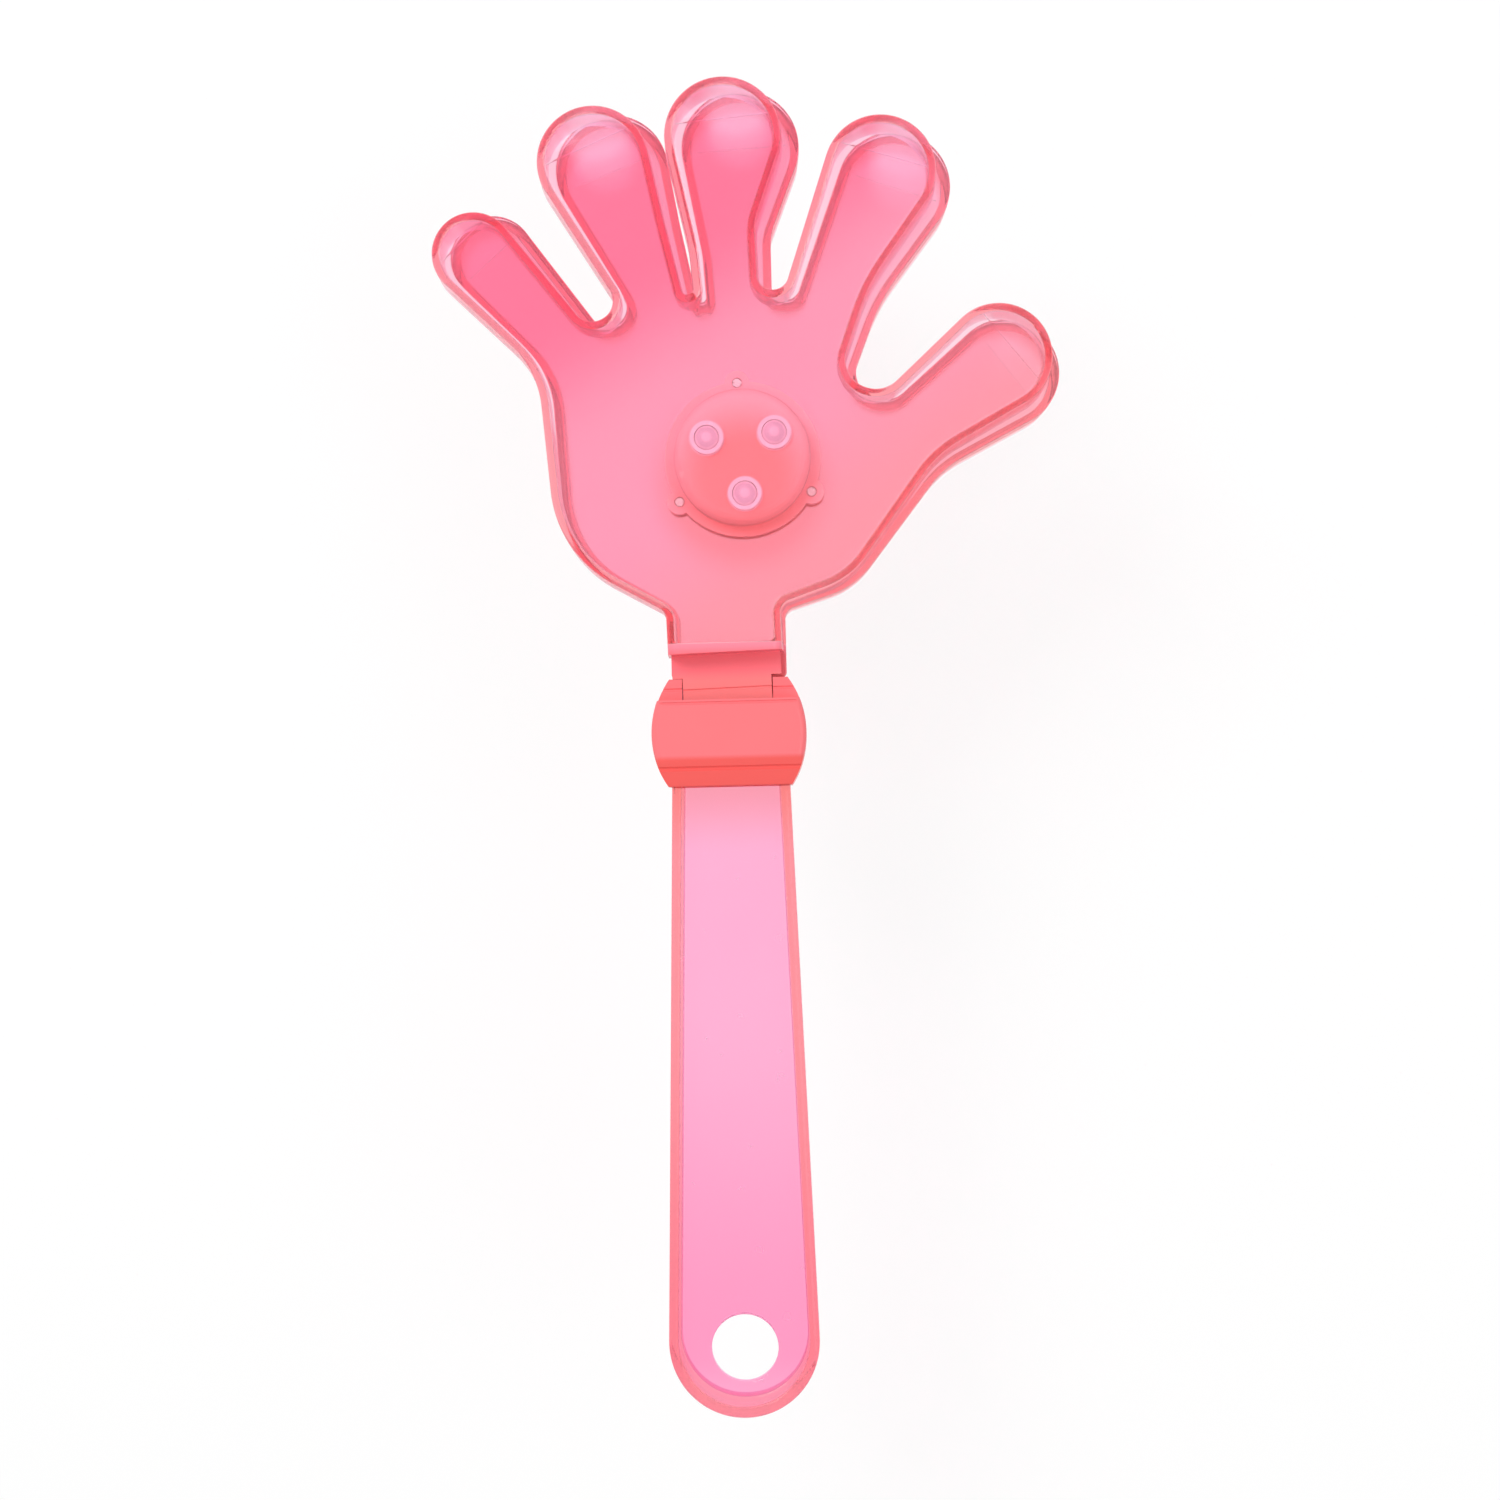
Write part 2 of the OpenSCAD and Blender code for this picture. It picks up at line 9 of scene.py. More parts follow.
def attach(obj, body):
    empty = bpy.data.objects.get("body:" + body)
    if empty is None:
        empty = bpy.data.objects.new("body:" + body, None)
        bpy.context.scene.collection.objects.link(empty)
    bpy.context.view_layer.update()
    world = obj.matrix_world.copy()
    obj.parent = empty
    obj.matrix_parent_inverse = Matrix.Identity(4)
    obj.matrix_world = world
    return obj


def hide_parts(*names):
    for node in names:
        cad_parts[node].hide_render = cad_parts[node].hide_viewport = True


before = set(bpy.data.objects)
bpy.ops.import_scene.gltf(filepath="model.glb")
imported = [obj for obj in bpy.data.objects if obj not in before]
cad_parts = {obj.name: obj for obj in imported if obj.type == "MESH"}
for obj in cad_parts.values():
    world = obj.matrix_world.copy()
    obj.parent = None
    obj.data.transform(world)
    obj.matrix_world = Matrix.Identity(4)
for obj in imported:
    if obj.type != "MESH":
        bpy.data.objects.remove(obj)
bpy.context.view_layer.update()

# Sizes in millimetres: X across, Y up to the fingertips, Z through the thickness
MM = 0.001
TAU = 2 * math.pi
THICKNESS = 24.0
MID_Z = THICKNESS / 2
PLATE_T = 2.6
PLATE_TOP = MID_Z + PLATE_T / 2
PLATE_BACK = MID_Z - PLATE_T / 2
CLAP_GAP = 0.3
# Hairline between faces that rest on each other, so that light passes one and then the other
TOUCH = 0.05
# How far a cutting solid runs past what it cuts, and a width past everything at the wrist
OVER = 1.0
WIDE = 20.0
# Fine moulded lines, and the angle from which an edge is shaded sharp
LINE_R = 0.3
CREASE = math.radians(32)

# Loose hands
HAND_DEPTH = MID_Z - PLATE_T / 2 - CLAP_GAP
HAND_WALL = 1.8
HAND_FACE = 1.8
HAND_EDGE = 2.2
HAND_DRAFT = 0.3
HAND_RIM = 0.3
HAND_FILLET = 0.8
FRONT_LEAN = math.radians(1.6)
FINGER_ROOT = (10.0, -20.0)
TIP_LINE = 3.2
TIP_THINNER = 0.7
TIP_MOST_R = 15.0
PALE_TIP_LEAST_R = 10.0

# Wrist levels along Y
CUFF_LOW_Y = -68.7
POCKET_TOP_Y = -66.0
CUFF_GROOVE_Y = -65.0
CUFF_BAND_Y = -62.3
CUFF_MID_Y = -57.8
HINGE_Y = -56.0
CUFF_FRONT_Y = -50.8
HUB_TOP_Y = -47.6
CUFF_FLANGE_Y = -47.4
CUFF_HIGH_Y = -46.2
PLATE_NECK_Y = -45.8
NECK_END_Y = -41.0
GRIP_END_Y = -200.0
HINGE_Z = (MID_Z + 6.2, MID_Z - 6.2)

# Hinge, hub and cuff
PIN_R = 1.2
BORE_R = 1.6
BARREL_R = 2.5
BARREL_HALF = 9.3
TONGUE_T = 2.0
TONGUE_IN = 1.6
SHOULDER_HALF = 11.4
SHOULDER_DEEP = 4.8
HUB_HALF = 11.9
HUB_WEB_T = 2.0
HUB_BLOCK_Y = -70.0
CHEEK_LOW_Y = -62.5
CHEEK_T = 1.9
CHEEK_DEPTH = 17.6
PEGS_AT = ((-6.0, -52.0), (6.0, -52.0))
PEG_R = 1.5
TANG_HALF = 9.8
TANG_END_Y = -61.8
CUFF_HALF = 16.1
CUFF_SIDE_R = 20.0
CUFF_WALL = 2.0
CUFF_EDGE = 1.5
CUFF_LIP = 3.0
GROOVE_R = 0.5
WINDOW_HALF = 9.7
WINDOW_LEAN = 0.4
CUFF_LEDGE = HINGE_Z[0] + TONGUE_T / 2 + 0.2
LEDGE_LINE_Y = -48.4
RIB_HALF = 8.0
RIB_Y = (-61.7, -59.3)
RIB_TOP = THICKNESS - 1.5

# Handle
GRIP_END_R = 15.7
GRIP_TOP_HALF = 12.4
GRIP_DEPTH = 12.0
GRIP_WEB = 2.4
GRIP_RIM = 2.0
GRIP_CORNER = 1.6
HANG_Y = -186.6
HANG_R = 7.0

# Light in the palm
LIGHT_AT = (4.0, 0.5)
LIGHT_TURN = math.radians(3)
THIRD = 120.0
DRUM_HOLE_R = 13.2
LAMP_RING = 8.2
LAMP_R = 2.6
LAMP_DOME_Z = 7.3
LAMP_DOME = 1.3
LAMP_FLANGE = 0.3
LAMP_FLANGE_T = 1.0
LAMP_ANGLES = {"lamp_left": 150, "lamp_right": 30, "lamp_bottom": 270}
SCREW_RING = 16.2
SCREW_HOLE_R = 1.1
SCREW_ANGLES = (90, 210, 330)
SCREW_HEAD_R = 1.7
SCREW_HEAD_H = 1.4
BOSS_RING = 10.5
BUTTON_RING = 9.9
BOARD_TOP = MID_Z + 0.8
DOOR_BACK = MID_Z - 8.7
FINGER_HOLE_R = 5.0
FINGER_DISH = 1.2

# Outline of a hand as circles (across, up, radius), counter-clockwise from the wrist:
# a positive radius is a round end, a negative one a hollow between two ends
NECK_HALF = 12.2
NECK_FILLET = 2.5
FILLET_Y = -33.5
FINGERS = [
    (16.5, -11.5, 18),   # heel of the thumb
    (61.5, -20.5, -23),  # hollow under the thumb
    (60, 17.5, 11.5),    # thumb
    (34.5, 18.5, -6),    # crook of the thumb
    (71, 13, -42),       # hollow side of the first finger
    (37.5, 58, 12),      # first finger
    (14, 37.5, -3),      # crook between first and middle finger
    (22, 46.5, -11),     # waist of the middle finger
    (5, 67.5, 12.5),     # middle finger
    (-17.5, 43, -14),    # waist of the middle finger
    (-4, 35.5, -1),      # crook between middle and ring finger
    (4.5, 54, -13),      # waist of the ring finger
    (-22.5, 63.5, 12),   # ring finger
    (-24, 34, -4),       # crook between ring and little finger
    (-48.5, 45.5, 9),    # little finger
    (-56, 11.5, -20),    # hollow under the little finger
    (-9.5, -4, 25.5),    # heel of the hand
]


# Outlines

def heading(a, b):
    """Direction of travel along the line that touches two circles of an outline."""
    run = math.hypot(b[0] - a[0], b[1] - a[1])
    return math.atan2(b[1] - a[1], b[0] - a[0]) - math.asin((b[2] - a[2]) / run)


def belt(chain, grow=0.0, step=3.0):
    """Points of the closed outline round a chain of circles, moved outwards by grow."""
    points = []
    for i, (x, y, r) in enumerate(chain):
        start = heading(chain[i - 1], chain[i])
        end = heading(chain[i], chain[(i + 1) % len(chain)])
        arc = (end - start) % TAU if r > 0 else -((start - end) % TAU)
        count = max(1, math.ceil(abs(arc) / math.radians(step)))
        for j in range(count + 1):
            t = start + arc * j / count
            points.append((x + (r + grow) * math.sin(t), y - (r + grow) * math.cos(t)))
    return points


def hand_chain(end_y, corner):
    """Chain of a hand whose neck ends at a level, with round corners."""
    right = [(NECK_HALF - corner, end_y + corner, corner),
             (NECK_HALF + NECK_FILLET, FILLET_Y, -NECK_FILLET)]
    left = [(-x, y, r) for x, y, r in reversed(right)]
    return right + FINGERS + left


def raised(points, z):
    """Flat points at a height."""
    return [(x, y, z) for x, y in points]


def levels(chain, profile):
    """Rings of an outline at (outwards, height) pairs."""
    return [raised(belt(chain, grow), z) for grow, z in profile]


def rounding(r, *angles):
    """Steps (inwards, down) from the corner of a rounded edge, from 0 on its side to 90 on its top."""
    turns = [math.radians(a) for a in angles]
    return [(r * (1 - math.cos(t)), r * (1 - math.sin(t))) for t in turns]


def upside_down(profile):
    """The same profile below the middle of the clapper, from its last pair to its first."""
    return [(grow, 2 * MID_Z - z) for grow, z in reversed(profile)]


# Solids

def skin(rings):
    """Closed skin over rings of equal counts, from the top lid round the outside to the last lid."""
    bm = bmesh.new()
    rows = [[bm.verts.new((x * MM, y * MM, z * MM)) for x, y, z in ring] for ring in rings]
    for upper, lower in zip(rows, rows[1:]):
        for j in range(len(upper)):
            k = (j + 1) % len(upper)
            bm.faces.new((upper[j], lower[j], lower[k], upper[k]))
    bm.faces.new(rows[0])
    bm.faces.new(list(reversed(rows[-1])))
    bmesh.ops.remove_doubles(bm, verts=bm.verts, dist=1e-7)
    return bm


def lathe(profile, sides=64):
    """Solid turned about Z from (radius, height) pairs, top first."""
    turn = [TAU * i / sides for i in range(sides)]
    return skin([[(r * math.cos(t), r * math.sin(t), z) for t in turn] for r, z in profile])


def block(low, high):
    """Box between two corners."""
    (x0, y0, z0), (x1, y1, z1) = low, high
    plan = [(x0, y0), (x1, y0), (x1, y1), (x0, y1)]
    return skin([raised(plan, z1), raised(plan, z0)])


def shift(x, y, z):
    """Matrix that moves by millimetres."""
    return Matrix.Translation((x * MM, y * MM, z * MM))


def moved(bm, matrix):
    """The same solid after a matrix, with faces turned back if it was mirrored."""
    bm.transform(matrix)
    if matrix.determinant() < 0:
        bmesh.ops.reverse_faces(bm, faces=bm.faces)
    return bm


def rod(radius, half, y, z):
    """Round bar along X, about the middle of the clapper."""
    bar = lathe([(radius, half), (radius, -half)], 48)
    return moved(bar, shift(0, y, z) @ Matrix.Rotation(math.radians(90), 4, "Y"))


def drill(radius, place):
    """Round bar along Z, longer than the plates are thick."""
    half = 5.0
    return moved(lathe([(radius, half), (radius, -half)]), place)


def round_light(angle, ring, z=0.0):
    """Place at an angle, in degrees, on a ring about the middle of the light."""
    turn = Matrix.Rotation(math.radians(angle), 4, "Z")
    return shift(*LIGHT_AT, z) @ Matrix.Rotation(LIGHT_TURN, 4, "Z") @ turn @ shift(ring, 0, 0)


TO_BACK = shift(0, 0, THICKNESS) @ Matrix.Scale(-1, 4, (0, 0, 1))


def as_object(bm, name):
    """Object in the scene with the mesh of a solid, which is used up."""
    mesh = bpy.data.meshes.new(name)
    bm.to_mesh(mesh)
    bm.free()
    obj = bpy.data.objects.new(name, mesh)
    bpy.context.scene.collection.objects.link(obj)
    return obj


def settle(obj):
    """Turns an object and its modifiers into a plain mesh."""
    view = bpy.context.evaluated_depsgraph_get()
    old = obj.data
    obj.data = bpy.data.meshes.new_from_object(obj.evaluated_get(view))
    obj.modifiers.clear()
    bpy.data.meshes.remove(old)


def fuse(obj, how, *solids):
    """Adds, cuts or keeps the overlap of solids, one after the other."""
    for bm in solids:
        tool = as_object(bm, "tool")
        step = obj.modifiers.new(how, "BOOLEAN")
        step.operation = how
        step.solver = "EXACT"
        step.object = tool
        settle(obj)
        bpy.data.objects.remove(tool)


def taken(obj):
    """The mesh of an object that isn't needed any more."""
    bm = bmesh.new()
    bm.from_mesh(obj.data)
    bpy.data.objects.remove(obj)
    return bm


def finish_piece(obj, body, slot, finish, *nodes):
    """Smooth shading, finish and body of a made piece, and the nodes that it stands for. Its slot is not
    used.
    """
    obj.data.materials.clear()
    obj.data.materials.append(finish)
    obj.data.shade_smooth()
    obj.data.set_sharp_from_angle(angle=CREASE)
    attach(obj, body)
    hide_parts(*nodes)


# Nodes for finishes and patterns

def srgb(code):
    """Linear colour of an sRGB hex value."""
    parts = [int(code[i:i + 2], 16) / 255 for i in (0, 2, 4)]
    return tuple(c / 12.92 if c <= 0.04045 else ((c + 0.055) / 1.055) ** 2.4 for c in parts) + (1.0,)


def add(tree, kind, inputs=None, **settings):
    """Adds a node with its settings, and sets or links its inputs."""
    made = tree.nodes.new(kind)
    for name, value in settings.items():
        setattr(made, name, value)
    for name, value in (inputs or {}).items():
        if isinstance(value, bpy.types.NodeSocket):
            tree.links.new(value, made.inputs[name])
        else:
            made.inputs[name].default_value = value
    return made


def new_finish(name):
    """Material with an empty node tree, and that tree."""
    finish = bpy.data.materials.new(name)
    finish.use_nodes = True
    finish.node_tree.nodes.clear()
    return finish, finish.node_tree


def per_mm(size):
    """Texture scale for a pattern of that size in millimetres, on coordinates in metres."""
    return 1 / (size * MM)


def along(direction, start, end):
    """Share of a tone that grows from nothing to all between two distances along a direction."""
    def share(tree, place):
        run = add(tree, "ShaderNodeVectorMath", {0: place, 1: direction}, operation="DOT_PRODUCT")
        return add(tree, "ShaderNodeMapRange", {
            "Value": run.outputs["Value"], "From Min": start * MM, "From Max": end * MM},
            interpolation_type="SMOOTHSTEP").outputs[0]
    return share


def round_axes(axes, full, none):
    """Share of a tone that is all near upright axes and falls to nothing further from them."""
    def share(tree, place):
        flat = add(tree, "ShaderNodeVectorMath", {0: place, 1: (1, 1, 0)}, operation="MULTIPLY")
        nearest = None
        for axis in axes:
            away = add(tree, "ShaderNodeVectorMath", {0: flat.outputs[0], 1: axis},
                       operation="DISTANCE").outputs["Value"]
            if nearest:
                away = add(tree, "ShaderNodeMath", {0: nearest, 1: away}, operation="MINIMUM").outputs[0]
            nearest = away
        return add(tree, "ShaderNodeMapRange", {
            "Value": nearest, "From Min": none * MM, "From Max": full * MM},
            interpolation_type="SMOOTHSTEP").outputs[0]
    return share


# Sizes of the patterns in the finishes, and heights of those that are felt, in millimetres.
# Ripple and grain are drawn coarser than they are on real pieces, so that they show from the camera
CLOUD_SIZE = 30.0
SPECK_SIZE = 6.0
RIPPLE_SIZE = 3.5
RIPPLE_HIGH = 0.4
GRAIN_SIZE = 0.6
GRAIN_HIGH = 0.2
# Clear plastic lets this share through. Its refraction is set low, because at the value of a real
# plastic its edges go brown, and in the photo they are coral
CLEAR = 0.97
REFRACTION = 1.06


def tinted_plastic(name, pale, deep, body, *tones, absorb, see_through, gloss, clear_share=None):
    """Tinted clear plastic from a polished mould: wet gloss with a faint ripple over a body that
    is a little milky, with soft clouds where the melt flowed, and deeper where it is thick.
    Each of the tones is a share and a colour that takes over there."""
    finish, tree = new_finish(name)
    place = add(tree, "ShaderNodeTexCoord").outputs["Object"]
    clouds = add(tree, "ShaderNodeTexNoise", {
        "Vector": place, "Scale": per_mm(CLOUD_SIZE), "Detail": 3.0})
    tint = add(tree, "ShaderNodeMix", {
        "Factor": clouds.outputs["Fac"], "A": srgb(pale), "B": srgb(deep)},
        data_type="RGBA").outputs["Result"]
    for share, tone in tones:
        tint = add(tree, "ShaderNodeMix", {
            "Factor": share(tree, place), "A": tint, "B": srgb(tone)},
            data_type="RGBA").outputs["Result"]
    specks = add(tree, "ShaderNodeTexNoise", {
        "Vector": place, "Scale": per_mm(SPECK_SIZE), "Detail": 4.0})
    sheen = add(tree, "ShaderNodeMapRange", {
        "Value": specks.outputs["Fac"], "To Min": gloss - 0.04, "To Max": gloss + 0.05})
    ripple = add(tree, "ShaderNodeTexNoise", {
        "Vector": place, "Scale": per_mm(RIPPLE_SIZE), "Detail": 2.0})
    bump = add(tree, "ShaderNodeBump", {
        "Height": ripple.outputs["Fac"], "Strength": 0.06, "Distance": RIPPLE_HIGH * MM})
    if clear_share:
        see_through = add(tree, "ShaderNodeMapRange", {
            "Value": clear_share(tree, place), "To Min": see_through, "To Max": CLEAR}).outputs["Result"]
    shader = add(tree, "ShaderNodeBsdfPrincipled", {
        "Base Color": tint, "Roughness": sheen.outputs["Result"], "IOR": REFRACTION, "Coat Weight": 0.3,
        "Transmission Weight": see_through, "Normal": bump.outputs["Normal"]})
    inside = add(tree, "ShaderNodeVolumeAbsorption", {"Color": srgb(body), "Density": absorb})
    add(tree, "ShaderNodeOutputMaterial", {
        "Surface": shader.outputs["BSDF"], "Volume": inside.outputs["Volume"]})
    return finish


def plain_finish(name, pale, deep, patch, rough, metal=0.0, coat=0.0):
    """Solid-coloured surface with a drift of tone, uneven gloss and a fine grain."""
    finish, tree = new_finish(name)
    place = add(tree, "ShaderNodeTexCoord").outputs["Object"]
    drift = add(tree, "ShaderNodeTexNoise", {"Vector": place, "Scale": per_mm(patch), "Detail": 3.0})
    tone = add(tree, "ShaderNodeMix", {
        "Factor": drift.outputs["Fac"], "A": srgb(pale), "B": srgb(deep)}, data_type="RGBA")
    sheen = add(tree, "ShaderNodeMapRange", {
        "Value": drift.outputs["Fac"], "To Min": rough - 0.06, "To Max": rough + 0.08})
    grain = add(tree, "ShaderNodeTexNoise", {
        "Vector": place, "Scale": per_mm(GRAIN_SIZE), "Detail": 2.0})
    bump = add(tree, "ShaderNodeBump", {
        "Height": grain.outputs["Fac"], "Strength": 0.05, "Distance": GRAIN_HIGH * MM})
    shader = add(tree, "ShaderNodeBsdfPrincipled", {
        "Base Color": tone.outputs["Result"], "Roughness": sheen.outputs["Result"], "Metallic": metal,
        "Coat Weight": coat, "Normal": bump.outputs["Normal"]})
    add(tree, "ShaderNodeOutputMaterial", {"Surface": shader.outputs["BSDF"]})
    return finish


# Where tones change: directions, and axes through the light, 5 mm straight below it, through the
# lamps and through the fingertips
UP = (0, 1, 0)
DOWN = (0, -1, 0)
LIGHT_AXIS = [round_light(0, 0).to_translation()]
BELOW_LIGHT = [round_light(-93, 5.0).to_translation()]
LAMP_AXES = [round_light(angle, LAMP_RING).to_translation() for angle in LAMP_ANGLES.values()]
TIP_AXES = []
for x, y, r in FINGERS:
    if PALE_TIP_LEAST_R < r < TIP_MOST_R:
        outwards = Vector((x - FINGER_ROOT[0], y - FINGER_ROOT[1], 0)).normalized()
        TIP_AXES.append((Vector((x, y, 0)) + outwards * TIP_LINE * 2) * MM)

# Pink polystyrene from a polished mould: wet and clear, deeper towards the fingers and where the
# light passes more walls, paler over the thin fingertips with a painted sheen on them, and deeper
# pink in a painted shadow round the module; the thick neck end and tongue look solid, and past the
# neck end they carry painted shade of the recess above the cuff
to_fingers = along((-0.5, 0.86, 0), 18, 46)
# Paler over the thinned fingertips, with a painted sheen on them
thin_tips_and_sheen = round_axes(TIP_AXES, 5.0, 9.0)
to_thumb = along((0.6, -0.8, 0), 0, 30)
# A painted shadow of the module: deeper pink round a point 5 mm below the light, back to the plain pale
# right over the module
painted_module_shadow = round_axes(BELOW_LIGHT, 12.0, 22.0)
over_the_light = round_axes(LIGHT_AXIS, 14.0, 16.5)
in_neck_wall = along(DOWN, 38.9, 39.3)
# Past the neck end: painted shade, tinted coral, in the recess above the cuff
recess_shade_past_neck_end = along(DOWN, 39.4, 41.6)
in_cuff = along(DOWN, 44, 47)
up_to_neck_wall = along(UP, -39.3, -38.9)
hand_plastic = tinted_plastic(
    "polystyrene_pink_moulded", "FFECF9", "FFE6F5", "FFA0A0",
    (to_fingers, "FFD6EA"), (thin_tips_and_sheen, "FFF0FF"), (to_thumb, "FFE8F0"),
    (painted_module_shadow, "FFDFE8"), (over_the_light, "FFECF9"),
    (in_neck_wall, "FF8EA2"), (recess_shade_past_neck_end, "FF7783"), (in_cuff, "FF8688"),
    absorb=140.0, see_through=0.1, gloss=0.22, clear_share=up_to_neck_wall)
# The same with less dye: a pale pink web, and coral rims where the light passes the full depth;
# deeper pink next to the cuff is a painted shadow of the cuff
painted_shadow_under_cuff = along(UP, -84, -68)
to_grip_end = along(DOWN, 110, 185)
at_grip_end = along(DOWN, 188, 196)
handle_plastic = tinted_plastic(
    "polystyrene_pale_pink_moulded", "FFC1EA", "FFB9E6", "FFC995",
    (painted_shadow_under_cuff, "FFAAC6"), (to_grip_end, "FFA6D7"), (at_grip_end, "FFB2E0"),
    absorb=110.0, see_through=0.95, gloss=0.25)
# Polypropylene dyed right through: solid coral with a soft gloss, redder on the lower lip
cuff_lip = along(DOWN, 62.2, 63.4)
cuff_plastic = tinted_plastic(
    "polypropylene_coral_moulded", "FF8086", "FF787E", "FF9090",
    (cuff_lip, "FF6662"), absorb=60.0, see_through=0.1, gloss=0.3)
# Polystyrene with more dye: a solid, even coral with some gloss
module_plastic = tinted_plastic(
    "polystyrene_coral_moulded", "FFB6B0", "FFAEA7", "FF8080", absorb=60.0, see_through=0.1, gloss=0.25)
# The same on the drum: paler towards its thin flange, and pale sleeves that catch the lamps' light
to_flange = round_axes(BELOW_LIGHT, 19.0, 7.0)
in_sleeves = round_axes(LAMP_AXES, 3.3, 4.0)
cap_plastic = tinted_plastic(
    "polystyrene_coral_with_sleeves", "FF9C99", "FF9490", "FF8080",
    (to_flange, "FFC6CD"), (in_sleeves, "FFE6F2"), absorb=60.0, see_through=0.1, gloss=0.25)
# Epoxy cast round a lamp: milky and very smooth, with the greyer cup of its lead showing through
in_cups = round_axes(LAMP_AXES, 1.9, 2.4)
in_cup_middles = round_axes(LAMP_AXES, 0.7, 1.3)
lamp_epoxy = tinted_plastic(
    "epoxy_milky_cast", "FFE8F4", "FFE2F0", "FFE8F6",
    (in_cups, "E4C5DA"), (in_cup_middles, "FADAEA"), absorb=10.0, see_through=0.1, gloss=0.1)
# Glass fibre under lacquer: a clear gloss over a green of uneven depth
board_green = plain_finish(
    "glass_fibre_green_lacquered", "2C6A3A", "235A30", patch=4, rough=0.35, coat=0.4)
# Epoxy poured over a chip: black with a soft shine
black_resin = plain_finish("epoxy_black_poured", "1E1E20", "151517", patch=2, rough=0.35)
# Moulded acetal: a waxy white with a dull shine
white_acetal = plain_finish("acetal_white_moulded", "F2EFEE", "E6E2E1", patch=5, rough=0.38)
# Drawn and nickel-plated steel: bright and a little warm, with soft reflections
cell_nickel = plain_finish(
    "steel_nickel_plated_drawn", "CFCDCB", "B9B7B6", patch=3, rough=0.28, metal=1.0)
# Rolled brass strip: yellow, with a satin shine
spring_brass = plain_finish("brass_strip_rolled", "D9B36A", "C59B52", patch=2, rough=0.32, metal=1.0)
# Zinc-plated steel: a bluish grey with a satin shine
zinc_steel = plain_finish("steel_zinc_plated", "C4C8CC", "AEB2B8", patch=2, rough=0.3, metal=1.0)
# Polished nickel plating: nearly white, so that the screws show as pale dots through the plastic
bright_steel = plain_finish(
    "steel_nickel_plated_polished", "F5F3F1", "ECEAE8", patch=2, rough=0.25, metal=1.0)


# Pieces

def tip_pocket(tip):
    """What thins the face over a fingertip, beyond a line across the finger."""
    x, y, r = tip
    outwards = math.atan2(y - FINGER_ROOT[1], x - FINGER_ROOT[0])
    inner = THICKNESS - HAND_FACE
    soft = 0.3
    steps = 32
    profile = [(-soft, TIP_THINNER), (-0.05, TIP_THINNER - 0.1), (0.0, TIP_THINNER - soft), (0.0, -0.5)]
    rings = []
    for reach, z in profile:
        round_r = r - HAND_WALL - HAND_FILLET * 0.5 + reach
        spread = math.acos((TIP_LINE - reach) / round_r)
        turns = [outwards - spread + 2 * spread * i / steps for i in range(steps + 1)]
        rings.append([(x + round_r * math.cos(t), y + round_r * math.sin(t), inner + z) for t in turns])
    return skin(rings)


def loose_hand():
    """Hollow hand with a rounded edge, a drafted wall and a soft rim, cut straight at the end of its
    neck, with its tongue and its barrel."""
    corner = HAND_EDGE + HAND_DRAFT + 0.5
    # A ring just inside a rounded edge keeps the face within it flat in shading, here and below
    support = 0.12
    steps = 8
    edge_angles = [90 * (1 - i / steps) for i in range(steps + 1)]
    outside = [(-HAND_DRAFT - HAND_EDGE - support, HAND_DEPTH)]
    outside += [(-HAND_DRAFT - a, HAND_DEPTH - b) for a, b in rounding(HAND_EDGE, *edge_angles)]
    outside += [(-a, b) for a, b in rounding(HAND_RIM, 0, 30, 60, 90)]
    ceiling = HAND_DEPTH - HAND_FACE
    inside = [(-HAND_WALL + b, a) for a, b in rounding(HAND_RIM, 0, 30, 60, 90)]
    inside += [(-HAND_WALL - a, ceiling - b) for a, b in rounding(HAND_FILLET, 0, 30, 60, 90)]
    inside.append((-HAND_WALL - HAND_FILLET - support, ceiling))
    low = THICKNESS - HAND_DEPTH
    rings = levels(hand_chain(NECK_END_Y - corner, corner), [(grow, low + z) for grow, z in outside])
    rings += levels(hand_chain(NECK_END_Y, corner), [(grow, low + z) for grow, z in inside])
    obj = as_object(skin(rings), "hand")
    past_neck = block((-WIDE, NECK_END_Y - 10, 0), (WIDE, NECK_END_Y, THICKNESS + OVER))
    fuse(obj, "DIFFERENCE", past_neck, *[tip_pocket(tip) for tip in FINGERS if 0 < tip[2] < TIP_MOST_R])
    z = HINGE_Z[0]
    tongue = block((-BARREL_HALF, HINGE_Y, z - TONGUE_T / 2),
                   (BARREL_HALF, NECK_END_Y + TONGUE_IN, z + TONGUE_T / 2))
    shoulders = block((-SHOULDER_HALF, NECK_END_Y - SHOULDER_DEEP, z - TONGUE_T / 2),
                      (SHOULDER_HALF, NECK_END_Y + 0.5, z + TONGUE_T / 2))
    fuse(obj, "UNION", shoulders, tongue, rod(BARREL_R, BARREL_HALF, HINGE_Y, z))
    line = rod(LINE_R, BARREL_HALF + OVER, LEDGE_LINE_Y, z + TONGUE_T / 2)
    fuse(obj, "DIFFERENCE", rod(BORE_R, BARREL_HALF + OVER, HINGE_Y, z), line)
    return obj


def turned(obj, name, matrix):
    """A copy of a piece under its own name, placed by a matrix in its mesh."""
    bm = bmesh.new()
    bm.from_mesh(obj.data)
    return as_object(moved(bm, matrix), name)


